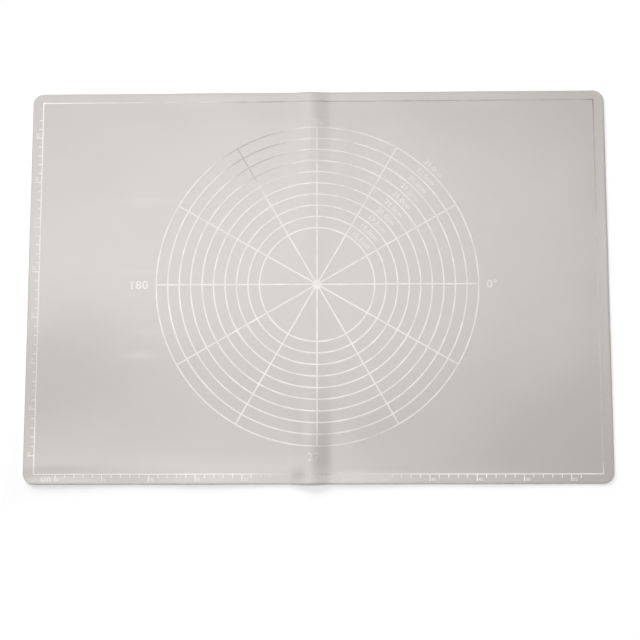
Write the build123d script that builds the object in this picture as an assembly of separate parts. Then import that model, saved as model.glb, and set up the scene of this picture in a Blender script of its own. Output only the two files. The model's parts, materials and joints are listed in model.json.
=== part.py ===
# A silicone baking mat with a printed pastry guide, laid flat on a table. Sizes are in millimetres.
# X runs along the long side, Y along the short side and Z up. The origin is on the table, under the
# middle of the printed circles, which is also the middle of the mat.
from build123d import *
import os
from math import asin, degrees, floor, hypot

# The sheet
mat_width = 630.0
mat_depth = 430.0
mat_thickness = 0.8
corner_radius = 12.0

# The crease across the sheet, where it was folded in half: a low ridge with one steeper side
crease_x = -8.0
crease_height = 3.5
crease_left_width = 18.0
crease_right_width = 26.0

# The ink film, and how wide its lines are
ink_thickness = 0.15
guide_line_width = 1.5
frame_line_width = 1.2
tick_line_width = 0.8

# The guide circles, their angle lines and the dot at their centre. As many circles are printed as leave
# the room named here between the outermost one and the frame line.
smallest_circle_diameter = 125.0
circle_diameter_step = 25.0
circle_frame_room = 25.0
angle_line_count = 12
centre_dot_diameter = 10.0

# The frame line: how far its middle lies in from the edges of the sheet
frame_side_margin = 11.5
frame_end_margin = 10.3

# The two centimetre scales, whose ticks stand on the outside of the frame line. Each is as many whole
# centimetres long as leave the room named here at both ends of its stretch of the frame line.
centimetre = 10.0
scale_end_room = 19.0
centimetres_per_number = 5
short_tick_length = 4.0
long_tick_length = 7.3
scale_number_height = 3.5
scale_number_gap = 0.9
unit_label_height = 5.4
unit_label_gap = 5.5

# The degree numbers just outside the circles, and how far the upper one stands to the right
degree_number_height = 8.2
side_number_gap = 9.5
lower_number_gap = 6.4
upper_number_gap = 3.2
upper_number_shift = 4.3

# The diameter labels, each just outside its own circle
label_height = 5.4
label_gap = 2.4
label_direction = 45.0

# How far the bodies that cut the ink layer run past it
overrun = 5.0
quarter_turn = 90.0
full_turn = 360.0

# Shares of a figure's height: its stroke, the space after it, and the width of a plain digit
stroke_share = 0.12
letter_space_share = 0.27
digit_width_share = 0.58

# The share of a closed loop's width and height that each of its corners cuts off
loop_corner_share = 0.27


def loop_shares(left, low, right, high):
    """A closed stroke with its corners cut off, anticlockwise, between the given shares."""
    cut_x = (right - left) * loop_corner_share
    cut_y = (high - low) * loop_corner_share
    corners = [
        (left + cut_x, low), (right - cut_x, low), (right, low + cut_y), (right, high - cut_y),
        (right - cut_x, high), (left + cut_x, high), (left, high - cut_y), (left, low + cut_y),
    ]
    return corners + corners[:1]


# Each figure is one or more strokes, whose points are shares of a digit's width and height. A stroke
# that ends where it starts is a closed loop, and runs anticlockwise.
glyph_shares = {
    "0": [loop_shares(0, 0, 1, 1)],
    "1": [[(0.5, 0), (0.5, 1)], [(0.1, 0.74), (0.5, 0.95)]],
    "2": [[(0, 0.78), (0.3, 1), (0.7, 1), (1, 0.8), (1, 0.6), (0, 0)], [(-0.1, 0), (1, 0)]],
    "3": [
        [(0.02, 0.84), (0.3, 1), (0.7, 1), (0.95, 0.85), (0.95, 0.68), (0.7, 0.54), (0.35, 0.54)],
        [(0.35, 0.54), (0.75, 0.54), (1, 0.38), (1, 0.16), (0.7, 0), (0.3, 0), (0, 0.16)],
    ],
    "4": [[(0.75, 0), (0.75, 1)], [(0.75, 0.97), (0, 0.3), (1, 0.3)]],
    "5": [
        [(0.95, 1), (0.12, 1), (0.06, 0.52)],
        [(0.02, 0.5), (0.3, 0.62), (0.7, 0.62), (1, 0.44), (1, 0.18), (0.7, 0), (0.3, 0), (0, 0.14)],
    ],
    "6": [loop_shares(0, 0, 1, 0.58), [(0, 0.3), (0.15, 0.7), (0.5, 1)]],
    "7": [[(0, 1), (1, 1), (0.35, 0)]],
    "8": [loop_shares(0, 0, 1, 0.54), loop_shares(0.08, 0.54, 0.92, 1)],
    "9": [loop_shares(0, 0.42, 1, 1), [(1, 0.7), (0.85, 0.3), (0.5, 0)]],
    ".": [[(0, 0), (0.2, 0)]],
    "c": [[(1, 0.52), (0.7, 0.66), (0.3, 0.66), (0, 0.5), (0, 0.16), (0.3, 0), (0.7, 0), (1, 0.14)]],
    "m": [[(0, 0), (0, 0.66), (1.35, 0.66), (1.35, 0)], [(0.67, 0), (0.67, 0.62)]],
    "°": [loop_shares(0.1, 0.7, 0.45, 1)],
}

# Sizes that follow from those above
half_width = mat_width / 2
half_depth = mat_depth / 2
frame_x = half_width - frame_side_margin
frame_y = half_depth - frame_end_margin
ink_top = mat_thickness + ink_thickness
column_height = crease_height + ink_top + overrun
lower_scale_centimetres = floor(2 * (frame_x - scale_end_room) / centimetre)
side_scale_centimetres = floor(2 * (frame_y - scale_end_room) / centimetre)
widest_circle_diameter = 2 * (min(frame_x, frame_y) - circle_frame_room)
circle_count = 1 + floor((widest_circle_diameter - smallest_circle_diameter) / circle_diameter_step)
circle_radii = [(smallest_circle_diameter + circle_diameter_step * i) / 2 for i in range(circle_count)]
guide_edge = circle_radii[-1] + guide_line_width / 2

# The two sides of the crease: the direction that runs outwards, and how wide the crease is there
sides = {"left": (-1, crease_left_width), "right": (1, crease_right_width)}
bends = ("foot", "crest")


def crease_layer(side, bend, low, high):
    """The part of a layer of the mat, between two lifts off the underside, that lies in one bend of the
    crease: its hollow foot or its round crest. Both are arcs, and they meet halfway up."""
    outwards, width = sides[side]
    radius = (width**2 + crease_height**2) / (4 * crease_height)
    turn = degrees(asin(width / 2 / radius))
    if bend == "foot":
        centre = (crease_x + outwards * width, radius)
        radii = (radius - low, radius - high)
        start = -quarter_turn if outwards < 0 else -quarter_turn - turn
    else:
        centre = (crease_x, crease_height - radius)
        radii = (radius + low, radius + high)
        start = quarter_turn if outwards < 0 else quarter_turn - turn
    arcs = [CenterArc(centre, arc_radius, start, turn) for arc_radius in radii]
    ends = [Line(arcs[0] @ end, arcs[1] @ end) for end in (0, 1)]
    return extrude(Plane.XZ * make_face(arcs + ends), amount=half_depth, both=True)


def panel_layer(side, low, high):
    """The flat part of a layer of the mat, from the foot of the crease to the rounded corners."""
    outwards, width = sides[side]
    foot_x = crease_x + outwards * width
    length = half_width - outwards * foot_x
    middle = Pos(foot_x + outwards * length / 2, 0, (low + high) / 2)
    plate = middle * Box(length, mat_depth, high - low)
    outer_corners = plate.edges().filter_by(Axis.Z).sort_by(Axis.X)
    return fillet(outer_corners[:2] if outwards < 0 else outer_corners[-2:], corner_radius)


def ink_layer(side):
    """The whole film that ink may fill on one side of the crease's crest."""
    layer = panel_layer(side, mat_thickness, ink_top)
    for bend in bends:
        layer += crease_layer(side, bend, mat_thickness, ink_top)
    return layer


ink_layers = {side: ink_layer(side) for side in sides}


def write(name, shapes):
    """Writes one node from its solids, if it has any."""
    if shapes:
        export_step(Compound(children=shapes), f"parts/{name}.step")


def ink_film(face, side):
    """The solids that a flat face prints on one side of the crest: a plain plate where the sheet is
    flat, and where it rises, the part of the ink layer that stands over the face."""
    outwards, width = sides[side]
    box = face.bounding_box()
    near, far = sorted(outwards * (x - crease_x) for x in (box.min.X, box.max.X))
    if far <= 0:
        return []
    if near >= width:
        return [Pos(0, 0, mat_thickness) * extrude(face, amount=ink_thickness)]
    film = ink_layers[side].intersect(extrude(face, amount=column_height))
    return list(film.solids()) if film else []


def printed(name, faces, side):
    """Writes the ink of flat faces on one side of the crest, as a film that follows the sheet."""
    write(name, [film for face in faces for film in ink_film(face, side)])


def ring(radius):
    """A circle drawn with the guide line."""
    return Circle(radius + guide_line_width / 2) - Circle(radius - guide_line_width / 2)


def angle_lines():
    """The lines from the centre dot to the outermost circle, broken where they meet a circle."""
    lines = Sketch()
    for i in range(angle_line_count):
        bar = Pos(circle_radii[-1] / 2, 0) * Rectangle(circle_radii[-1], guide_line_width)
        lines += Rot(0, 0, i * full_turn / angle_line_count) * bar
    lines -= Circle(centre_dot_diameter / 2)
    for radius in circle_radii:
        lines -= ring(radius)
    return lines


def frame_line():
    """The thin rectangle printed round the sheet, just inside its edge."""
    outer = Rectangle(2 * frame_x + frame_line_width, 2 * frame_y + frame_line_width)
    return outer - Rectangle(2 * frame_x - frame_line_width, 2 * frame_y - frame_line_width)


def tick_places(centimetres):
    """Where a centred scale has its ticks, and whether each is one that a number stands at."""
    start = -centimetres * centimetre / 2
    return [(start + i * centimetre, i % centimetres_per_number == 0) for i in range(centimetres + 1)]


def scale_ticks(centimetres, outwards):
    """The ticks of a scale along +X. They start at the outer edge of a line drawn along the X axis,
    and reach outwards from its middle."""
    ticks = []
    foot = frame_line_width / 2
    for x, numbered in tick_places(centimetres):
        reach = long_tick_length if numbered else short_tick_length
        ticks.append(Pos(x, outwards * (reach + foot) / 2) * Rectangle(tick_line_width, reach - foot))
    return ticks


def stroke_face(points, width):
    """The face of one stroke of a figure, of even width, with its corners mitred."""
    closed = points[0] == points[-1]
    corners = points[:-1] if closed else points
    left, right = [], []
    for i, (x, y) in enumerate(corners):
        before = corners[i - 1] if closed or i > 0 else None
        after = corners[(i + 1) % len(corners)] if closed or i + 1 < len(corners) else None
        normals = []
        for start, end in ((before, (x, y)), ((x, y), after)):
            if start and end:
                run, rise = end[0] - start[0], end[1] - start[1]
                normals.append((-rise / hypot(run, rise), run / hypot(run, rise)))
        first, last = normals[0], normals[-1]
        reach = width / 2 / (1 + first[0] * last[0] + first[1] * last[1])
        across = ((first[0] + last[0]) * reach, (first[1] + last[1]) * reach)
        left.append((x + across[0], y + across[1]))
        right.append((x - across[0], y - across[1]))
    if closed:
        return Polygon(*right, align=None) - Polygon(*left, align=None)
    return Polygon(*right, *reversed(left), align=None)


def glyph(character, height):
    """One figure, with its left foot at the origin."""
    width = digit_width_share * height
    face = Sketch()
    for stroke in glyph_shares[character]:
        points = [(share_x * width, share_y * height) for share_x, share_y in stroke]
        face += stroke_face(points, stroke_share * height)
    return face


def placed(place, faces):
    """The same faces in another place."""
    return [place * face for face in faces]


def words(text, height):
    """The faces of a row of figures along +X with its left foot at the origin, and how long it is."""
    row = []
    x = 0
    space = letter_space_share * height
    for character in text:
        row += placed(Pos(x, 0), glyph(character, height).faces())
        widest_share = max(point[0] for stroke in glyph_shares[character] for point in stroke)
        x += widest_share * digit_width_share * height + space
    return row, x - space


def scale_numbers(centimetres, outwards):
    """The numbers of a scale along +X, each just after its tick and level with the tick's outer end."""
    numbers = []
    bottom = -long_tick_length if outwards < 0 else long_tick_length - scale_number_height
    for i, (x, numbered) in enumerate(tick_places(centimetres)):
        if numbered:
            left = x + tick_line_width / 2 + scale_number_gap
            numbers += placed(Pos(left, bottom), words(str(i), scale_number_height)[0])
    return numbers


def unit_label():
    """The letters that name the unit, before the first tick of the lower scale."""
    letters, length = words("cm", unit_label_height)
    start = tick_places(lower_scale_centimetres)[0][0]
    return placed(Pos(start - unit_label_gap - length, -frame_y - long_tick_length), letters)


def degree_numbers():
    """The four degree numbers at the ends of the upright and the level angle line."""
    right, _ = words("0°", degree_number_height)
    left, left_length = words("180", degree_number_height)
    upper, upper_length = words("90°", degree_number_height)
    lower, lower_length = words("270", degree_number_height)
    middle = -degree_number_height / 2
    low = -guide_edge - lower_number_gap - degree_number_height
    return (
        placed(Pos(guide_edge + side_number_gap, middle), right)
        + placed(Pos(-guide_edge - side_number_gap - left_length, middle), left)
        + placed(Pos(upper_number_shift - upper_length / 2, guide_edge + upper_number_gap), upper)
        + placed(Pos(-lower_length / 2, low), lower)
    )


def diameter_labels():
    """Each circle's diameter in centimetres, written along the circle just outside it."""
    labels = []
    turn = Rot(0, 0, label_direction - quarter_turn)
    for radius in circle_radii:
        letters, length = words(f"{2 * radius / centimetre:.1f}cm", label_height)
        baseline = radius + guide_line_width / 2 + label_gap
        labels += placed(turn * Pos(-length / 2, baseline), letters)
    return labels


def build_sheet():
    """The sheet, cut along the crest of the crease, and on each side of it where the bend changes."""
    for side in sides:
        write(f"sheet_{side}_panel", [panel_layer(side, 0, mat_thickness)])
        for bend in bends:
            write(f"crease_{side}_{bend}", [crease_layer(side, bend, 0, mat_thickness)])


def build_print():
    """The print: each figure that crosses the crest of the crease is cut there."""
    at_lower_edge = Pos(0, -frame_y)
    at_left_edge = Pos(-frame_x, 0) * Rot(0, 0, quarter_turn)
    crossing = {}
    for number, radius in enumerate(circle_radii, 1):
        crossing[f"guide_circle_{number:02d}"] = ring(radius).faces()
    crossing["angle_lines"] = angle_lines().faces()
    crossing["frame_line"] = frame_line().faces()
    crossing["lower_scale"] = placed(at_lower_edge, scale_ticks(lower_scale_centimetres, -1))
    crossing["lower_numbers"] = placed(at_lower_edge, scale_numbers(lower_scale_centimetres, -1))
    crossing["degree_numbers"] = degree_numbers()
    for name, faces in crossing.items():
        for side in sides:
            printed(f"{name}_{side}", faces, side)
    printed("centre_dot", Circle(centre_dot_diameter / 2).faces(), "right")
    printed("side_scale", placed(at_left_edge, scale_ticks(side_scale_centimetres, 1)), "left")
    printed("side_numbers", placed(at_left_edge, scale_numbers(side_scale_centimetres, 1)), "left")
    printed("unit_label", unit_label(), "left")
    printed("diameter_labels", diameter_labels(), "right")


os.makedirs("parts", exist_ok=True)
build_sheet()
build_print()
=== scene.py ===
import json
import math

import bpy
from bpy.props import FloatProperty, FloatVectorProperty, IntProperty, PointerProperty
from mathutils import Euler, Matrix, Vector

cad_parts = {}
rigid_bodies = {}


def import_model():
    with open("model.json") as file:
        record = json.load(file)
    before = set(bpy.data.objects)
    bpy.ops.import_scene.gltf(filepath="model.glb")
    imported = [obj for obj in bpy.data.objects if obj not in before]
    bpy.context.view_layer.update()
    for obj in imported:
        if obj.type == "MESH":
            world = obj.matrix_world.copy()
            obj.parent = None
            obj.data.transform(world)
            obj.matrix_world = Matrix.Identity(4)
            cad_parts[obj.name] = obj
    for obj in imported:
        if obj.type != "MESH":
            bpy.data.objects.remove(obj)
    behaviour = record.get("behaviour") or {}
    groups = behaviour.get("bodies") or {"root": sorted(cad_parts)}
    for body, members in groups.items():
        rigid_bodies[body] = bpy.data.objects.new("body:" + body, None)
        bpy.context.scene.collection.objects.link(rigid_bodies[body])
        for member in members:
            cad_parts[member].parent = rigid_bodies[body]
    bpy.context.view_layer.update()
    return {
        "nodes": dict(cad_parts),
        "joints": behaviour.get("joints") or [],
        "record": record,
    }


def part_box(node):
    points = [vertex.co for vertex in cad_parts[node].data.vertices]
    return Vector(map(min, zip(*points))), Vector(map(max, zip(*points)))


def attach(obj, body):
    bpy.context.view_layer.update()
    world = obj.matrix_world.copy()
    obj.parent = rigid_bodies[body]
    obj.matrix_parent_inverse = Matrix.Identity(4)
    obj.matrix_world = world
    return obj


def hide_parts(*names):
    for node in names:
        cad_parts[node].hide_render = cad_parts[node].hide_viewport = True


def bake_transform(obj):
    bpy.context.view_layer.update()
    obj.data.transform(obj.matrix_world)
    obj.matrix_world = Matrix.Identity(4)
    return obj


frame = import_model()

bl_info = {
    "name": "Silicone Baking Mat",
    "version": (1, 0, 0),
    "blender": (4, 5, 0),
    "location": "3D View > Sidebar > Baking Mat",
    "description": "Models a thin silicone baking mat with its printed pastry guide",
    "category": "Add Mesh",
}

left_half = frame["joints"][0]["parent"]
right_half = frame["joints"][0]["child"]
left_nodes = frame["record"]["behaviour"]["bodies"][left_half]

# Sizes and places that the frame gives
left_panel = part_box("sheet_left_panel")
right_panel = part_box("sheet_right_panel")
circle_names = sorted({name.rsplit("_", 1)[0] for name in frame["nodes"] if name.startswith("guide_circle_")})

half_width = right_panel[1].x
half_depth = right_panel[1].y
sheet_thickness = right_panel[1].z
left_foot_x = left_panel[1].x
right_foot_x = right_panel[0].x
crease_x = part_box("crease_left_crest")[1].x
crease_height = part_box("crease_left_crest")[1].z - sheet_thickness
frame_edge_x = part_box("frame_line_right")[1].x
frame_edge_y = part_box("frame_line_right")[1].y
outer_radii = [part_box(f"{name}_right")[1].x for name in circle_names]
dot_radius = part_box("centre_dot")[1].x
lower_scale_end_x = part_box("lower_scale_left")[0].x
side_scale_end_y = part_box("side_scale")[1].y
long_tick_end_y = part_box("lower_scale_left")[0].y
unit_label_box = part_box("unit_label")
left_number_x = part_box("degree_numbers_left")[0].x
right_number_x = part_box("degree_numbers_right")[1].x
lower_number_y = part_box("degree_numbers_right")[0].y
upper_number_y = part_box("degree_numbers_right")[1].y

# Lighter marks on the sheet's top face: streaks near the left edge, and a painted highlight along the front
# edge in the last row, standing in for the curled edge's reflection. In metres: x and y of the middle, half
# the length, half the breadth, and the strength
lighter_streaks_and_painted_highlight = (
    (-0.189, 0.093, 0.024, 0.0035, 0.5),
    (-0.192, -0.077, 0.018, 0.0040, 1.0),
    (-0.188, -0.052, 0.014, 0.0035, 0.4),
    (-0.190, 0.014, 0.022, 0.0035, 0.4),
    # Painted highlight along the front edge, standing in for the reflection of its curl
    (-0.110, -0.198, 0.120, 0.0100, 0.9),
)

# Dim patches of the softbox, in metres: the left, right, front and back edge, how far in from the side edges
# and from the end edges the patch reaches its full depth, and the share of the light that it takes there.
# An edge at 3 or -3 lies far outside the softbox.
softbox_patches = (
    (0.05, 3.0, -3.0, 3.0, 0.31, 0.30, 0.29),
    (0.00, 3.0, -3.0, 0.13, 0.52, 0.22, 0.88),
    (-0.30, 3.0, -0.24, 0.14, 0.25, 0.16, 0.22),
    (-3.0, -0.34, -0.09, 0.18, 0.24, 0.07, 0.92),
    (-3.0, 0.05, -0.165, 0.14, 0.35, 0.08, 0.42),
    (0.00, 3.0, 0.46, 3.0, 0.50, 0.18, 0.70),
    (-0.40, 3.0, 0.59, 3.0, 0.28, 0.03, 0.60),
    (-3.0, -0.18, 0.30, 3.0, 0.45, 0.30, 0.58),
    (0.012, 0.052, 0.37, 0.63, 0.012, 0.03, 0.80),
    (0.03, 0.15, -0.125, -0.035, 0.03, 0.02, 0.80),
)


class SheetSizes(bpy.types.PropertyGroup):
    """How the silicone sheet lies on the table"""

    corner_radius: FloatProperty(
        name="Corner radius", description="Radius of the sheet's rounded corners", default=0.012,
        unit="LENGTH",
    )
    rim_rounding: FloatProperty(
        name="Rim rounding", description="Width of the rounded rim", default=0.00025, unit="LENGTH"
    )
    panel_cell: FloatProperty(
        name="Panel cell", description="Size of a mesh cell on the flat panels", default=0.0035, unit="LENGTH"
    )
    crease_cell: FloatProperty(
        name="Crease cell", description="Size of a mesh cell over the crest of the crease", default=0.0005,
        unit="LENGTH",
    )
    bend_half_width: FloatProperty(
        name="Bend half width", description="How far from the crest the sheet bends when folded",
        default=0.0035, unit="LENGTH",
    )
    crease_middle_share: FloatProperty(
        name="Crease height midway", description="Share of the crease's height that is left midway along it",
        default=0.20, subtype="FACTOR",
    )
    crease_left_reach: FloatProperty(
        name="Crease reach", description="How far the crease's left flank runs out past its foot",
        default=0.008, unit="LENGTH",
    )
    crease_front_share: FloatProperty(
        name="Crease height at the front", description="Share of the crease's height at the front edge",
        default=1.0, subtype="FACTOR",
    )
    crease_back_share: FloatProperty(
        name="Crease height at the back", description="Share of the crease's height at the back edge",
        default=0.75, subtype="FACTOR",
    )
    crease_flatness: FloatProperty(
        name="Crease flatness", description="Power with which the crease rises towards its ends", default=2.2
    )
    wave_height: FloatProperty(
        name="Wave height", description="Height of the slow waves of the panels", default=0.0003,
        unit="LENGTH",
    )
    wave_length: FloatProperty(
        name="Wave length", description="Length of the slow waves of the panels", default=0.16,
        unit="LENGTH",
    )
    edge_band: FloatProperty(
        name="Edge band", description="Width of the band along the edge that curls up", default=0.022,
        unit="LENGTH",
    )
    right_edge_band: FloatProperty(
        name="Right edge band", description="Width of that band along the right edge", default=0.011,
        unit="LENGTH",
    )
    front_lift: FloatProperty(
        name="Front lift", description="How far the front edge curls up", default=0.0020, unit="LENGTH"
    )
    front_right_share: FloatProperty(
        name="Front lift at the right",
        description="Share of the front lift that is left at the right corner",
        default=0.35, subtype="FACTOR",
    )
    left_lift: FloatProperty(
        name="Left lift", description="How far the left edge curls up", default=0.0010, unit="LENGTH"
    )
    right_lift: FloatProperty(
        name="Right lift", description="How far the right edge curls up", default=0.0003, unit="LENGTH"
    )
    back_lift: FloatProperty(
        name="Back lift", description="How far the back edge curls up", default=0.0004, unit="LENGTH"
    )


class PrintSizes(bpy.types.PropertyGroup):
    """The printed pastry guide"""

    film: FloatProperty(
        name="Ink film", description="Thickness of the ink", default=0.0001, unit="LENGTH"
    )
    guide_line: FloatProperty(
        name="Guide line", description="Width of the circles and angle lines", default=0.0015, unit="LENGTH"
    )
    frame_line: FloatProperty(
        name="Frame line", description="Width of the line round the sheet", default=0.0012, unit="LENGTH"
    )
    tick_line: FloatProperty(
        name="Tick line", description="Width of the scales' ticks", default=0.0010, unit="LENGTH"
    )
    short_tick: FloatProperty(
        name="Short tick", description="Reach of a centimetre tick past the frame line", default=0.004,
        unit="LENGTH",
    )
    angle_lines: IntProperty(
        name="Angle lines", description="Number of angle lines", default=12, min=1
    )
    line_lift: FloatProperty(
        name="Angle line lift", description="Thickness of the angle lines' ink, in ink films", default=1.15
    )
    dot_lift: FloatProperty(
        name="Dot lift", description="Thickness of the centre dot's ink, in ink films", default=1.3
    )
    dot_sides: IntProperty(
        name="Dot sides", description="Number of sides of the centre dot's mesh", default=48, min=3
    )
    segment: FloatProperty(
        name="Segment", description="Length of a mesh segment along a printed line", default=0.003,
        unit="LENGTH",
    )
    degree_height: FloatProperty(
        name="Degree numbers", description="Height of the degree numbers", default=0.0090, unit="LENGTH"
    )
    number_height: FloatProperty(
        name="Scale numbers", description="Height of the scales' numbers", default=0.0035, unit="LENGTH"
    )
    stroke_growth: FloatProperty(
        name="Stroke growth", description="How much bolder the large letters are than the plain face",
        default=0.012,
    )
    small_stroke_growth: FloatProperty(
        name="Small stroke growth", description="The same for the scales' numbers", default=-0.004
    )
    widening: FloatProperty(
        name="Widening", description="How much wider large letters and their spaces are", default=1.08
    )
    number_gap: FloatProperty(
        name="Number gap", description="From a tick to its number", default=0.0009, unit="LENGTH"
    )
    label_height: FloatProperty(
        name="Diameter labels", description="Height of the diameter labels", default=0.0054, unit="LENGTH"
    )
    label_gap: FloatProperty(
        name="Label gap", description="From a circle to its label", default=0.0024, unit="LENGTH"
    )
    label_direction: FloatProperty(
        name="Label direction", description="Where round the circles the labels stand",
        default=math.radians(45), subtype="ANGLE",
    )


class FinishColours(bpy.types.PropertyGroup):
    """The finish of the silicone and of the ink"""

    silicone: FloatVectorProperty(
        name="Silicone", description="Colour of the sheet", default=(0.444, 0.421, 0.396), subtype="COLOR",
        min=0, max=1,
    )
    silicone_roughness: FloatProperty(
        name="Silicone roughness", description="Roughness of the sheet", default=0.42, subtype="FACTOR"
    )
    ink: FloatVectorProperty(
        name="Ink", description="Colour of the print", default=(0.525, 0.514, 0.488), subtype="COLOR",
        min=0, max=1,
    )
    ink_roughness: FloatProperty(
        name="Ink roughness", description="Roughness of the print", default=0.07, subtype="FACTOR"
    )


class StageSettings(bpy.types.PropertyGroup):
    """The camera, the lamps and the floor"""

    camera_place: FloatVectorProperty(
        name="Camera place", description="Where the camera stands", default=(0.03891, -0.23513, 1.44065),
        subtype="TRANSLATION",
    )
    camera_turn: FloatVectorProperty(
        name="Camera turn", description="How the camera is turned",
        default=(math.radians(7.749), math.radians(1.421), math.radians(-0.014)), subtype="EULER",
    )
    camera_lens: FloatProperty(
        name="Lens", description="Focal length in millimetres on a sensor 36 mm wide", default=75.62
    )
    softbox_strength: FloatProperty(
        name="Softbox", description="Strength of the large softbox overhead", default=6.1
    )
    key_power: FloatProperty(
        name="Low key", description="Power of the low lamp far off at the upper left", default=100.0,
        unit="POWER",
    )
    fill: FloatProperty(
        name="Fill", description="Strength of the even light from the room", default=0.08
    )
    floor_colour: FloatVectorProperty(
        name="Floor", description="Colour of the floor", default=(0.85, 0.85, 0.85), subtype="COLOR",
        min=0, max=1,
    )
    floor_size: FloatProperty(
        name="Floor size", description="Length of the floor's sides", default=8, unit="LENGTH"
    )
    floor_drop: FloatProperty(
        name="Floor drop", description="How far below the sheet the floor lies", default=0.0001, unit="LENGTH"
    )


def sheet_sizes():
    return bpy.context.scene.mat_sheet


def print_sizes():
    return bpy.context.scene.mat_print


def finish():
    return bpy.context.scene.mat_finish


def stage_settings():
    return bpy.context.scene.mat_stage


def eased(share):
    """0 to 1 with a level start and a level end."""
    share = min(max(share, 0.0), 1.0)
    return share * share * (3 - 2 * share)


def crease_rise(x, y):
    """How far the crease lifts the sheet: less midway along it than at its ends."""
    sizes = sheet_sizes()
    foot_x = left_foot_x - sizes.crease_left_reach if x < crease_x else right_foot_x
    middle = sizes.crease_middle_share
    end = sizes.crease_front_share if y < 0 else sizes.crease_back_share
    share = middle + (end - middle) * eased(abs(y) / half_depth) ** sizes.crease_flatness
    return crease_height * share * eased((x - foot_x) / (crease_x - foot_x))


def edge_rise(x, y):
    """How far the sheet curls up near its edges, by a height that swings a little along each edge."""
    sizes = sheet_sizes()
    slow = math.tau / sizes.wave_length
    steady, swing = 0.8, 0.2
    front_share = 1 - (1 - sizes.front_right_share) * eased(x / half_width)
    rise = 0.0
    for reach, lift, band, along in (
        (half_depth + y, sizes.front_lift * front_share, sizes.edge_band, x),
        (half_depth - y, sizes.back_lift, sizes.edge_band, x),
        (half_width + x, sizes.left_lift, sizes.edge_band, y),
        (half_width - x, sizes.right_lift, sizes.right_edge_band, y),
    ):
        curl = max(0.0, 1 - reach / band) ** 2
        rise += lift * curl * (steady + swing * math.sin(slow * along))
    return rise


def wave_rise(x, y):
    """The slow waves of a sheet that has been rolled up, level at the crease and never below the table."""
    sizes = sheet_sizes()
    slow = math.tau / sizes.wave_length
    sway, sway_pace, cross_pace, cross_start = 1.3, 0.7, 0.8, 0.6
    lengthways = math.sin(slow * x + sway * math.sin(slow * sway_pace * y))
    crossways = math.sin(slow * cross_pace * y + cross_start)
    height = sizes.wave_height * (0.5 + 0.5 * lengthways * crossways)
    return height * eased(abs(x - crease_x) / sizes.wave_length)


def top_height(x, y):
    """Height of the sheet's top face."""
    return sheet_thickness + crease_rise(x, y) + edge_rise(x, y) + wave_rise(x, y)


def stations(stops, steps):
    """Places from the first stop to the last, with no more than each stretch's own step between them."""
    places = [stops[0]]
    tolerance = 1e-6
    for start, end, step in zip(stops, stops[1:], steps):
        count = max(1, math.ceil((end - start) / step - tolerance))
        places += [start + (end - start) * i / count for i in range(1, count + 1)]
    return places


def sheet_columns():
    """Where the sheet's mesh has its lines across the long side."""
    sizes = sheet_sizes()
    corner, cell, fine = sizes.corner_radius, sizes.panel_cell, sizes.crease_cell
    corner_cell, flank_cell = corner / 5, 4 * fine
    bend = sizes.bend_half_width + fine
    stops = [-half_width, corner - half_width, left_foot_x, crease_x - bend, crease_x + bend]
    stops += [right_foot_x, half_width - corner, half_width]
    return stations(stops, [corner_cell, cell, flank_cell, fine, flank_cell, cell, corner_cell])


def sheet_rows():
    """Where the sheet's mesh has its lines across the short side."""
    sizes = sheet_sizes()
    corner = sizes.corner_radius
    corner_cell, row_cell = corner / 5, 0.8 * sizes.panel_cell
    stops = [-half_depth, corner - half_depth, half_depth - corner, half_depth]
    return stations(stops, [corner_cell, row_cell, corner_cell])


def start_clean():
    """Leaves nothing selected, so that an operator acts on new work alone."""
    if bpy.context.object and bpy.context.object.mode != "OBJECT":
        bpy.ops.object.mode_set(mode="OBJECT")
    bpy.ops.object.select_all(action="DESELECT")


def select_only(piece):
    """Makes one object the selected and the active one."""
    start_clean()
    piece.select_set(True)
    bpy.context.view_layer.objects.active = piece


def named(name):
    """The active object, under its own name."""
    piece = bpy.context.object
    piece.name = name
    piece.data.name = name
    return piece


def modified(piece, kind, **settings):
    """Adds a modifier to a piece and applies it."""
    select_only(piece)
    modifier = piece.modifiers.new(kind.title(), kind)
    for key, value in settings.items():
        setattr(modifier, key, value)
    bpy.ops.object.modifier_apply(modifier=modifier.name)


def joined(pieces, name):
    """Several objects made one, with its place in its mesh."""
    start_clean()
    for piece in pieces:
        piece.select_set(True)
    bpy.context.view_layer.objects.active = pieces[0]
    if len(pieces) > 1:
        bpy.ops.object.join()
    bpy.ops.object.transform_apply(location=True, rotation=True, scale=True)
    return named(name)


def cut(piece, columns, rows):
    """Cuts a flat figure along the sheet's own lines, so that it can bend with the sheet."""
    select_only(piece)
    low = [min(vertex.co[axis] for vertex in piece.data.vertices) for axis in (0, 1)]
    high = [max(vertex.co[axis] for vertex in piece.data.vertices) for axis in (0, 1)]
    bpy.ops.object.mode_set(mode="EDIT")
    for axis, places in enumerate((columns, rows)):
        for place in places:
            if low[axis] < place < high[axis]:
                bpy.ops.mesh.select_all(action="SELECT")
                point = (place, 0, 0) if axis == 0 else (0, place, 0)
                bpy.ops.mesh.bisect(plane_co=point, plane_no=(1 - axis, axis, 0), threshold=1e-7)
    bpy.ops.object.mode_set(mode="OBJECT")


def crease_columns():
    """The sheet's lines over the crease, from foot to foot."""
    slack = 0.001
    return [x for x in sheet_columns() if left_foot_x - slack < x < right_foot_x + slack]


def laid(piece, lift, rows, columns):
    """Lays a flat figure on the sheet, with its top lift above it and its underside on it."""
    cut(piece, crease_columns() if columns is None else columns, rows)
    mesh = piece.data
    if sum(face.normal.z * face.area for face in mesh.polygons) < 0:
        mesh.flip_normals()
    for vertex in mesh.vertices:
        vertex.co.z = top_height(vertex.co.x, vertex.co.y) + lift
    modified(piece, "SOLIDIFY", thickness=lift, offset=-1)
    bpy.ops.object.shade_smooth_by_angle(angle=math.radians(40))


def bend_with_crease(piece):
    """Bakes the piece's place into its mesh."""
    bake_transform(piece)


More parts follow.
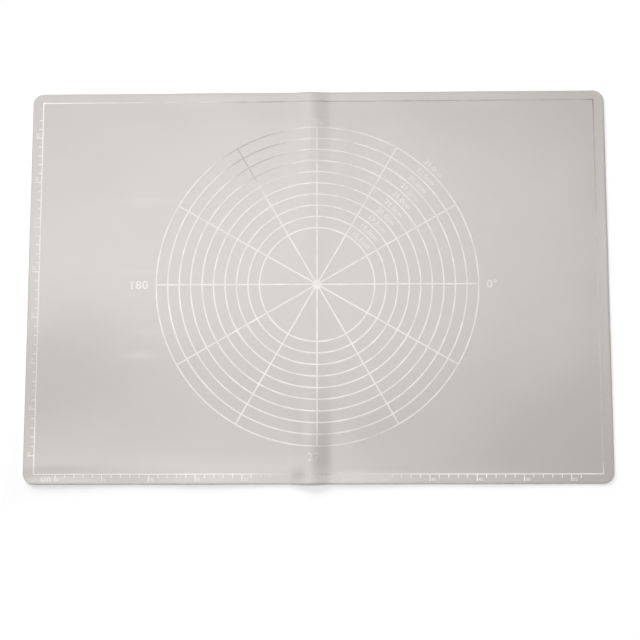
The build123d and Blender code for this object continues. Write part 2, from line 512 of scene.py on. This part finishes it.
def ink_piece(piece, nodes, lift_share=1.0, rows=(), columns=None):
    """Finishes a printed figure: on the sheet, in ink, and in place of its CAD nodes."""
    laid(piece, print_sizes().film * lift_share, rows, columns)
    piece.data.materials.clear()
    piece.data.materials.append(ink_material())
    if len(nodes) > 1:
        bend_with_crease(piece)
    else:
        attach(piece, left_half if nodes[0] in left_nodes else right_half)
    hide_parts(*nodes)


def bar(x, y, length, width, turn=0.0):
    """A flat bar with its middle at a place, turned about the upright."""
    start_clean()
    bpy.ops.mesh.primitive_plane_add(size=1, location=(x, y, 0), rotation=(0, 0, turn))
    bpy.context.object.scale = (length, width, 1)
    return bpy.context.object


def ring(radius, width, name):
    """A flat ring, with the radius of its outer edge."""
    start_clean()
    count = math.ceil(math.tau * radius / print_sizes().segment)
    bpy.ops.mesh.primitive_circle_add(vertices=count, radius=radius - width, fill_type="NOTHING")
    bpy.ops.object.mode_set(mode="EDIT")
    bpy.ops.mesh.select_all(action="SELECT")
    bpy.ops.mesh.extrude_region_move()
    grow = radius / (radius - width)
    bpy.ops.transform.resize(value=(grow, grow, 1), center_override=(0, 0, 0))
    bpy.ops.object.mode_set(mode="OBJECT")
    return named(name)


def lettering(text, height, place, turn=0.0, align="LEFT", widen=1.0, growth=None):
    """A word in the built-in face as a flat mesh of a given height, turned, with its foot at a place."""
    start_clean()
    bpy.ops.object.text_add()
    word = bpy.context.object
    word.data.body = text
    word.data.space_character = widen
    word.data.offset = print_sizes().stroke_growth if growth is None else growth
    bpy.ops.object.convert(target="MESH")
    word = bpy.context.object
    left = min(vertex.co.x for vertex in word.data.vertices)
    right = max(vertex.co.x for vertex in word.data.vertices)
    low = min(vertex.co.y for vertex in word.data.vertices)
    high = max(vertex.co.y for vertex in word.data.vertices)
    start = {"LEFT": left, "CENTER": (left + right) / 2, "RIGHT": right}[align]
    size = height / (high - low)
    scale = Matrix.Diagonal((size * widen, size, 1, 1))
    word.data.transform(scale @ Matrix.Translation((-start, -low, 0)))
    word.data.transform(Matrix.Translation((*place, 0)) @ Matrix.Rotation(turn, 4, "Z"))
    return word


class Socket:
    """A socket of a node, or a number, that adds Math nodes as it is used in an expression"""

    def __init__(self, tree, source):
        self.tree = tree
        self.source = source

    def math(self, operation, *others):
        node = add_node(self.tree, "ShaderNodeMath", {"operation": operation}, {
            i: value for i, value in enumerate((self, *others))
        })
        return Socket(self.tree, node.outputs[0])

    def __add__(self, other):
        return self.math("ADD", other)

    __radd__ = __add__

    def __mul__(self, other):
        return self.math("MULTIPLY", other)

    __rmul__ = __mul__

    def __sub__(self, other):
        return self.math("SUBTRACT", other)

    def __rsub__(self, other):
        return Socket(self.tree, other).math("SUBTRACT", self)

    def __truediv__(self, other):
        return self.math("DIVIDE", other)

    def __abs__(self):
        return self.math("ABSOLUTE")

    def past(self, start):
        """How far the value is past a start, or 0."""
        return (self - start).math("MAXIMUM", 0.0)

    def short_of(self, end):
        """How far the value is short of an end, or 0."""
        return (end - self).math("MAXIMUM", 0.0)

    def held(self):
        """The value, held between 0 and 1."""
        return self.math("MAXIMUM", 0.0).math("MINIMUM", 1.0)


def add_node(tree, kind, settings=None, values=None):
    """Adds a node, makes its settings, then sets or links its sockets."""
    node = tree.nodes.new(kind)
    for key, value in (settings or {}).items():
        setattr(node, key, value)
    for key, value in (values or {}).items():
        value = value.source if isinstance(value, Socket) else value
        if isinstance(value, bpy.types.NodeSocket):
            tree.links.new(value, node.inputs[key])
        else:
            node.inputs[key].default_value = value
    return node


def new_material(name):
    """A material without nodes, and its tree."""
    material = bpy.data.materials.new(name)
    material.use_nodes = True
    tree = material.node_tree
    tree.nodes.clear()
    return material, tree


def parts(tree, place):
    """The x, y and z of a vector."""
    node = add_node(tree, "ShaderNodeSeparateXYZ", values={0: place})
    return [Socket(tree, output) for output in node.outputs]


def noise(tree, place, scale, detail):
    """A value between 0 and 1 that wanders over the surface."""
    node = add_node(tree, "ShaderNodeTexNoise", values={"Vector": place, "Scale": scale, "Detail": detail})
    return Socket(tree, node.outputs[0])


def mixed(tree, share, first, second):
    """A colour between two others."""
    node = add_node(tree, "ShaderNodeMix", {"data_type": "RGBA"}, {0: share, 6: first, 7: second})
    return Socket(tree, node.outputs[2])


def shade(colour, factor):
    """A colour made lighter or darker, with full opacity."""
    return (*(min(1.0, channel * factor) for channel in colour), 1.0)


def silicone_material():
    """Cured silicone with a satin skin: a faint mottle, lighter streaks, a painted highlight along the front
    edge and a fine moulded grain.
    """
    if "cured_silicone" in bpy.data.materials:
        return bpy.data.materials["cured_silicone"]
    material, tree = new_material("cured_silicone")
    colour = finish().silicone
    mottle_low, mottle_high, mottle_roughness = 0.97, 1.03, 0.10
    speckle_share, speckle_shade, streak_and_highlight_shade = 0.5, 0.96, 1.11
    place = add_node(tree, "ShaderNodeTexCoord").outputs["Object"]
    mottle = noise(tree, place, scale=22.0, detail=3.0)
    speckle = noise(tree, place, scale=900.0, detail=2.0)
    grain = noise(tree, place, scale=2600.0, detail=1.0)
    ripple = noise(tree, place, scale=30.0, detail=1.0)
    base = mixed(tree, mottle, shade(colour, mottle_low), shade(colour, mottle_high))
    base = mixed(tree, speckle * speckle_share, base, shade(colour, speckle_shade))
    # Lighter streaks, and a painted highlight along the front edge that stands in for its reflection
    streak_and_highlight_share = add_node(tree, "ShaderNodeAttribute", {"attribute_name": "powder"}).outputs["Fac"]
    base = mixed(tree, streak_and_highlight_share, base, shade(colour, streak_and_highlight_shade))
    fine = add_node(tree, "ShaderNodeBump", values={"Strength": 0.12, "Distance": 0.00003, "Height": grain})
    slow = add_node(tree, "ShaderNodeBump", values={
        "Strength": 0.25, "Distance": 0.0006, "Height": ripple, "Normal": fine.outputs[0]
    })
    shader = add_node(tree, "ShaderNodeBsdfPrincipled", values={
        "Base Color": base,
        "Roughness": finish().silicone_roughness + mottle_roughness * (mottle - 0.5),
        "IOR": 1.17,
        "Coat Weight": 1.0,
        "Coat Roughness": 0.16,
        "Coat IOR": 1.4,
        "Normal": slow.outputs[0],
    })
    add_node(tree, "ShaderNodeOutputMaterial", values={"Surface": shader.outputs[0]})
    return material


def ink_thickness(cover, across, along):
    """The ink's level, in films: uneven at random, with painted shade that darkens it towards the back edge
    and in patches, and painted light that brightens it at two corners.
    """
    usual, unevenness, painted_shade_to_back = 0.62, 0.90, 1.4
    # Random unevenness, and painted shade that makes the ink darker towards the back edge; thickness here is
    # a level that carries painted light and shade
    thickness = usual + unevenness * (cover - 0.5) - painted_shade_to_back * along

    # Painted shade: the ink darker along the right end of the frame line
    start_x, painted_darkening = 0.29, 30.0
    thickness = thickness - painted_darkening * across.past(start_x)

    # Painted shade: the ink darker beside the crease's front end
    middle_x, reach, start_y, painted_darkening = 0.015, 0.12, -0.15, 15.0
    nearness = (1.0 - abs(across - middle_x) / reach).held()
    thickness = thickness - painted_darkening * nearness * along.short_of(start_y)

    # Painted shade: the ink darker along the frame line's back stretch: from the left it sets in soon, to the
    # right it wanes slowly
    left_x, onset, right_x, waning, start_y, painted_darkening = -0.13, 20.0, 0.50, 2.5, 0.178, 23.0
    nearness = (onset * (across - left_x)).math("MINIMUM", waning * (right_x - across)).held()
    thickness = thickness - painted_darkening * nearness * along.past(start_y)

    # Painted shade: the ink darker in a spot at the upper left of the circles
    middle_x, middle_y, reach, painted_darkening = -0.068, 0.150, 0.055, 1.3
    off_x, off_y = across - middle_x, along - middle_y
    distance = (off_x * off_x + off_y * off_y).math("SQRT")
    thickness = thickness - painted_darkening * (1.0 - distance / reach).held()

    # Painted light: the ink brighter at the lower right corner
    start_x, start_y, painted_lightening = 0.08, -0.19, 200.0
    thickness = thickness + painted_lightening * across.past(start_x) * along.short_of(start_y)

    # Painted light: the ink brighter at the upper left corner
    start_x, start_y, painted_lightening = -0.18, 0.05, 38.0
    return thickness + painted_lightening * across.short_of(start_x) * along.past(start_y)


def ink_material():
    """Off-white silicone ink: a smooth film, its colour running from a painted dark shade, darker than the
    sheet, to a painted bright light as its level falls and rises.
    """
    if "silicone_ink" in bpy.data.materials:
        return bpy.data.materials["silicone_ink"]
    material, tree = new_material("silicone_ink")
    place = add_node(tree, "ShaderNodeTexCoord").outputs["Object"]
    cover = noise(tree, place, scale=60.0, detail=3.0)
    screen = noise(tree, place, scale=1800.0, detail=1.0)
    across, along, _ = parts(tree, place)
    # Painted shade at the dark end, darker than the bare sheet, and painted light at the bright end, lighter
    # than the ink
    painted_dark, painted_bright = shade(finish().silicone, 0.60), shade(finish().ink, 1.60)
    share_at_level_zero, share_per_film, cover_roughness = 0.2, 0.51, 0.05
    share = share_at_level_zero + share_per_film * ink_thickness(cover, across, along)
    base = mixed(tree, share, painted_dark, painted_bright)
    bump = add_node(tree, "ShaderNodeBump", values={"Strength": 0.08, "Distance": 0.00002, "Height": screen})
    shader = add_node(tree, "ShaderNodeBsdfPrincipled", values={
        "Base Color": base,
        "Roughness": finish().ink_roughness + cover_roughness * (cover - 0.5),
        "IOR": 1.52,
        "Normal": bump.outputs[0],
    })
    add_node(tree, "ShaderNodeOutputMaterial", values={"Surface": shader.outputs[0]})
    return material


def powder(sheet):
    """Stores how strong the lighter streaks and the painted highlight along the front edge are over the
    sheet's top face, for its material.
    """
    faded_out = 3 ** 2
    attribute = sheet.data.attributes.new("powder", "FLOAT", "POINT")
    for vertex, value in zip(sheet.data.vertices, attribute.data):
        if vertex.normal.z <= 0:
            continue
        for x, y, half_length, half_breadth, strength in lighter_streaks_and_painted_highlight:
            squared_reach = ((vertex.co.x - x) / half_length) ** 2 + ((vertex.co.y - y) / half_breadth) ** 2
            if squared_reach < faded_out:
                value.value += strength * math.exp(-squared_reach)


class MAT_OT_silicone_sheet(bpy.types.Operator):
    """Models the silicone sheet: rounded corners, a raised crease, slow waves and a curled rim"""

    bl_idname = "baking_mat.silicone_sheet"
    bl_label = "Silicone Sheet"

    def execute(self, context):
        columns, rows = sheet_columns(), sheet_rows()
        start_clean()
        bpy.ops.mesh.primitive_grid_add(
            x_subdivisions=len(columns) - 1, y_subdivisions=len(rows) - 1, size=1
        )
        sheet = named("silicone_sheet")
        corner = sheet_sizes().corner_radius
        for vertex in sheet.data.vertices:
            x = columns[round((vertex.co.x + 0.5) * (len(columns) - 1))]
            y = rows[round((vertex.co.y + 0.5) * (len(rows) - 1))]
            out_x = max(0.0, abs(x) - (half_width - corner))
            out_y = max(0.0, abs(y) - (half_depth - corner))
            if out_x and out_y:
                pull = max(out_x, out_y) / math.hypot(out_x, out_y)
                x = math.copysign(half_width - corner + out_x * pull, x)
                y = math.copysign(half_depth - corner + out_y * pull, y)
            vertex.co = (x, y, top_height(x, y))
        modified(sheet, "SOLIDIFY", thickness=sheet_thickness, offset=-1)
        modified(sheet, "BEVEL", width=sheet_sizes().rim_rounding, segments=2, limit_method="ANGLE",
                 angle_limit=math.radians(60))
        bpy.ops.object.shade_smooth_by_angle(angle=math.radians(50))
        powder(sheet)
        sheet.data.materials.append(silicone_material())
        bend_with_crease(sheet)
        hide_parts(*(name for name in frame["nodes"] if name.startswith(("sheet_", "crease_"))))
        return {"FINISHED"}


class MAT_OT_guide_circles(bpy.types.Operator):
    """Prints the guide circles"""

    bl_idname = "baking_mat.guide_circles"
    bl_label = "Guide Circles"

    def execute(self, context):
        for name, radius in zip(circle_names, outer_radii):
            ink_piece(ring(radius, print_sizes().guide_line, name), [f"{name}_left", f"{name}_right"])
        return {"FINISHED"}


class MAT_OT_angle_lines(bpy.types.Operator):
    """Prints the angle lines and the dot that they start from"""

    bl_idname = "baking_mat.angle_lines"
    bl_label = "Angle Lines"

    def execute(self, context):
        sizes = print_sizes()
        reach = outer_radii[-1] - sizes.guide_line / 2
        bars = []
        for i in range(sizes.angle_lines):
            turn = math.tau * i / sizes.angle_lines
            middle_x, middle_y = math.cos(turn) * reach / 2, math.sin(turn) * reach / 2
            bars.append(bar(middle_x, middle_y, reach, sizes.guide_line, turn))
        lines = joined(bars, "angle_lines")
        steps = stations([-reach, reach], [2 * sizes.segment])
        nodes = ["angle_lines_left", "angle_lines_right"]
        ink_piece(lines, nodes, sizes.line_lift, steps, steps + crease_columns())
        start_clean()
        bpy.ops.mesh.primitive_circle_add(vertices=sizes.dot_sides, radius=dot_radius, fill_type="TRIFAN")
        ink_piece(named("centre_dot"), ["centre_dot"], sizes.dot_lift)
        return {"FINISHED"}


class MAT_OT_frame_line(bpy.types.Operator):
    """Prints the line round the sheet"""

    bl_idname = "baking_mat.frame_line"
    bl_label = "Frame Line"

    def execute(self, context):
        width = print_sizes().frame_line
        across, up = frame_edge_x - width / 2, frame_edge_y - width / 2
        bars = []
        for side in (-1, 1):
            bars.append(bar(0, side * up, 2 * frame_edge_x, width))
            bars.append(bar(side * across, 0, width, 2 * (frame_edge_y - width)))
        line = joined(bars, "frame_line")
        ink_piece(line, ["frame_line_left", "frame_line_right"], 1.0, sheet_rows(), sheet_columns())
        return {"FINISHED"}


class MAT_OT_centimetre_scales(bpy.types.Operator):
    """Prints the two centimetre scales with their numbers"""

    bl_idname = "baking_mat.centimetre_scales"
    bl_label = "Centimetre Scales"

    centimetre: FloatProperty(
        name="Centimetre", description="Space between ticks", default=0.01, unit="LENGTH"
    )
    numbered_every: IntProperty(
        name="Numbered every", description="Centimetres between numbers", default=5
    )

    def execute(self, context):
        sizes = print_sizes()
        long_reach = -long_tick_end_y - (frame_edge_y - sizes.frame_line / 2)
        for scale, end, line in (
            ("lower", -lower_scale_end_x, frame_edge_y),
            ("side", side_scale_end_y, frame_edge_x),
        ):
            length = 2 * (end - sizes.tick_line / 2)
            count = round(length / self.centimetre)
            turn = 0.0 if scale == "lower" else math.pi / 2
            place = Matrix.Rotation(turn, 2)
            ticks, numbers = [], []
            for i in range(count + 1):
                along = (i - count / 2) * self.centimetre
                long_tick = i % self.numbered_every == 0
                reach = (long_reach if long_tick else sizes.short_tick) - sizes.frame_line / 2
                out = -1 if scale == "lower" else 1
                middle = place @ Vector((along, out * (line + reach / 2)))
                ticks.append(bar(middle.x, middle.y, sizes.tick_line, reach, turn))
                if long_tick:
                    start = along + sizes.tick_line / 2 + sizes.number_gap
                    end_of_tick = line + reach
                    low = -end_of_tick if scale == "lower" else end_of_tick - sizes.number_height
                    spot = place @ Vector((start, low))
                    numbers.append(lettering(
                        str(i), sizes.number_height, spot, turn, growth=sizes.small_stroke_growth
                    ))
            if scale == "lower":
                ink_piece(joined(ticks, "lower_scale"), ["lower_scale_left", "lower_scale_right"])
                ink_piece(joined(numbers, "lower_numbers"), ["lower_numbers_left", "lower_numbers_right"])
            else:
                ink_piece(joined(ticks, "side_scale"), ["side_scale"])
                ink_piece(joined(numbers, "side_numbers"), ["side_numbers"])
        low, high = unit_label_box
        label = lettering(
            "cm", high.y - low.y, (high.x, low.y), align="RIGHT", growth=sizes.small_stroke_growth
        )
        ink_piece(joined([label], "unit_label"), ["unit_label"])
        return {"FINISHED"}


class MAT_OT_degree_numbers(bpy.types.Operator):
    """Prints the four degree numbers"""

    bl_idname = "baking_mat.degree_numbers"
    bl_label = "Degree Numbers"

    upper_shift: FloatProperty(
        name="Upper shift", description="How far the upper number stands right", default=0.0043, unit="LENGTH"
    )
    left_shift: FloatProperty(
        name="Left shift", description="How far the left number stands out", default=0.001, unit="LENGTH"
    )

    def execute(self, context):
        height, widen = print_sizes().degree_height, print_sizes().widening
        right, left = (right_number_x, -height / 2), (left_number_x - self.left_shift, -height / 2)
        upper, lower = (self.upper_shift, upper_number_y - height), (0, lower_number_y)
        words = [
            lettering("0°", height, right, align="RIGHT", widen=widen),
            lettering("180", height, left, widen=widen),
            lettering("90°", height, upper, align="CENTER", widen=widen),
            lettering("270", height, lower, align="CENTER", widen=widen),
        ]
        ink_piece(joined(words, "degree_numbers"), ["degree_numbers_left", "degree_numbers_right"])
        return {"FINISHED"}


class MAT_OT_diameter_labels(bpy.types.Operator):
    """Prints each circle's diameter just outside it"""

    bl_idname = "baking_mat.diameter_labels"
    bl_label = "Diameter Labels"

    def execute(self, context):
        sizes = print_sizes()
        turn = sizes.label_direction - math.pi / 2
        labels = []
        for radius in outer_radii:
            diameter = 2 * (radius - sizes.guide_line / 2)
            reach = radius + sizes.label_gap
            spot = (math.cos(sizes.label_direction) * reach, math.sin(sizes.label_direction) * reach)
            text = f"{100 * diameter:.1f}cm"
            labels.append(lettering(text, sizes.label_height, spot, turn, "CENTER", sizes.widening))
        ink_piece(joined(labels, "diameter_labels"), ["diameter_labels"])
        return {"FINISHED"}


def area_lamp(name, place, aim, size, power):
    """A soft lamp that points at a place on the mat and doesn't show in glossy surfaces."""
    lamp = bpy.data.lights.new(name, "AREA")
    lamp.shape = "RECTANGLE"
    lamp.size, lamp.size_y = size
    lamp.energy = power
    holder = bpy.data.objects.new(name, lamp)
    bpy.context.collection.objects.link(holder)
    holder.location = place
    holder.rotation_euler = (Vector(aim) - Vector(place)).to_track_quat("-Z", "Y").to_euler()
    holder.visible_glossy = False


def softbox(left, right, front, back, height, strength):
    """A large sheet of glowing cloth overhead, out of the camera's sight, that is dimmer in places."""
    start_clean()
    bpy.ops.mesh.primitive_plane_add(size=1, location=((left + right) / 2, (front + back) / 2, height))
    bpy.context.object.scale = (right - left, back - front, 1)
    cloth = joined([bpy.context.object], "softbox")
    cloth.visible_camera = False
    material, tree = new_material("softbox_cloth")
    across, along, _ = parts(tree, add_node(tree, "ShaderNodeTexCoord").outputs["Object"])
    level = 1.0
    for patch_left, patch_right, patch_front, patch_back, side_fade, end_fade, depth in softbox_patches:
        inward = (across - patch_left).math("MINIMUM", patch_right - across) / side_fade
        onward = (along - patch_front).math("MINIMUM", patch_back - along) / end_fade
        level = level * (1.0 - depth * (inward.held() * onward.held()))
    glow = add_node(tree, "ShaderNodeEmission", values={"Color": level, "Strength": strength})
    add_node(tree, "ShaderNodeOutputMaterial", values={"Surface": glow.outputs[0]})
    cloth.data.materials.append(material)


def seen_ray(tree):
    """1 where the camera or a glossy surface looks straight at something."""
    path = add_node(tree, "ShaderNodeLightPath")
    camera, glossy = path.outputs["Is Camera Ray"], path.outputs["Is Glossy Ray"]
    return Socket(tree, camera).math("MAXIMUM", glossy)


def floor_material(settings):
    """A white floor: where it is seen, a weak glow evens it out near the mat and it is plain white beyond."""
    glow_in_middle, glow_to_right, glow_to_front = 0.06, 0.26, 0.22
    white_start, white_fade = 0.009, 0.03
    full_white = 1.02
    material, tree = new_material("floor_white")
    ray = seen_ray(tree)
    across, along, _ = parts(tree, add_node(tree, "ShaderNodeTexCoord").outputs["Object"])
    even = (glow_in_middle + glow_to_right * across - glow_to_front * along).math("MAXIMUM", 0.0)
    outside = (abs(across) - half_width).math("MAXIMUM", abs(along) - half_depth)
    far = ((outside - white_start) / white_fade).held()
    lit = add_node(tree, "ShaderNodeBsdfDiffuse", values={"Color": shade(settings.floor_colour, 1.0)})
    glow = add_node(tree, "ShaderNodeEmission", values={"Color": ray * even})
    near = add_node(tree, "ShaderNodeAddShader", values={0: lit.outputs[0], 1: glow.outputs[0]})
    white = add_node(tree, "ShaderNodeEmission", values={"Strength": full_white})
    all_over = add_node(tree, "ShaderNodeMixShader", values={
        0: ray * far, 1: near.outputs[0], 2: white.outputs[0]
    })
    add_node(tree, "ShaderNodeOutputMaterial", values={"Surface": all_over.outputs[0]})
    return material


def room_world(fill):
    """A room that gives a weak even light and looks white where it is seen."""
    world = bpy.data.worlds.new("room")
    world.use_nodes = True
    tree = world.node_tree
    tree.nodes.clear()
    room = add_node(tree, "ShaderNodeBackground", values={
        "Color": (1.0, 1.0, 1.0, 1.0),
        "Strength": fill + (1 - fill) * seen_ray(tree),
    })
    add_node(tree, "ShaderNodeOutputWorld", values={"Surface": room.outputs[0]})
    return world


class MAT_OT_stage(bpy.types.Operator):
    """Sets up the floor, the room, the lamps and the camera"""

    bl_idname = "baking_mat.stage"
    bl_label = "Stage"

    def execute(self, context):
        settings = stage_settings()
        scene = context.scene
        start_clean()
        bpy.ops.mesh.primitive_plane_add(size=settings.floor_size, location=(0, 0, -settings.floor_drop))
        floor = named("floor")
        floor.data.materials.append(floor_material(settings))
        scene.world = room_world(settings.fill)

        softbox(left=-0.81, right=0.565, front=-0.40, back=0.66, height=1.44,
                strength=settings.softbox_strength)
        area_lamp("low_key", place=(-1.75, 2.40, 1.20), aim=(0.0, 0.0, 0.0), size=(2.2, 1.4),
                  power=settings.key_power)

        camera = bpy.data.cameras.new("camera")
        camera.lens = settings.camera_lens
        camera.sensor_width = 36.0
        holder = bpy.data.objects.new("camera", camera)
        context.collection.objects.link(holder)
        holder.location = settings.camera_place
        holder.rotation_euler = Euler(settings.camera_turn)
        scene.camera = holder
        scene.view_settings.view_transform = "Standard"
        return {"FINISHED"}


class MAT_PT_panel(bpy.types.Panel):
    """Lists the mat's pieces and their settings"""

    bl_label = "Silicone Baking Mat"
    bl_idname = "MAT_PT_panel"
    bl_space_type = "VIEW_3D"
    bl_region_type = "UI"
    bl_category = "Baking Mat"

    def draw(self, context):
        for operator in operators:
            self.layout.operator(operator.bl_idname)
        for group in groups:
            settings = getattr(context.scene, group)
            for name in settings.__annotations__:
                self.layout.prop(settings, name)


operators = (
    MAT_OT_silicone_sheet,
    MAT_OT_guide_circles,
    MAT_OT_angle_lines,
    MAT_OT_frame_line,
    MAT_OT_centimetre_scales,
    MAT_OT_degree_numbers,
    MAT_OT_diameter_labels,
    MAT_OT_stage,
)
groups = {
    "mat_sheet": SheetSizes,
    "mat_print": PrintSizes,
    "mat_finish": FinishColours,
    "mat_stage": StageSettings,
}


def register():
    """Registers the settings, the operators and the panel."""
    for name, group in groups.items():
        bpy.utils.register_class(group)
        setattr(bpy.types.Scene, name, PointerProperty(type=group))
    for operator in operators:
        bpy.utils.register_class(operator)
    bpy.utils.register_class(MAT_PT_panel)


def unregister():
    """Takes the panel, the operators and the settings out again."""
    bpy.utils.unregister_class(MAT_PT_panel)
    for operator in reversed(operators):
        bpy.utils.unregister_class(operator)
    for name, group in groups.items():
        delattr(bpy.types.Scene, name)
        bpy.utils.unregister_class(group)


def main():
    """Builds the mat and its stage."""
    register()
    bpy.ops.baking_mat.stage()
    bpy.ops.baking_mat.silicone_sheet()
    bpy.ops.baking_mat.guide_circles()
    bpy.ops.baking_mat.angle_lines()
    bpy.ops.baking_mat.frame_line()
    bpy.ops.baking_mat.centimetre_scales()
    bpy.ops.baking_mat.degree_numbers()
    bpy.ops.baking_mat.diameter_labels()


if __name__ == "__main__":
    main()
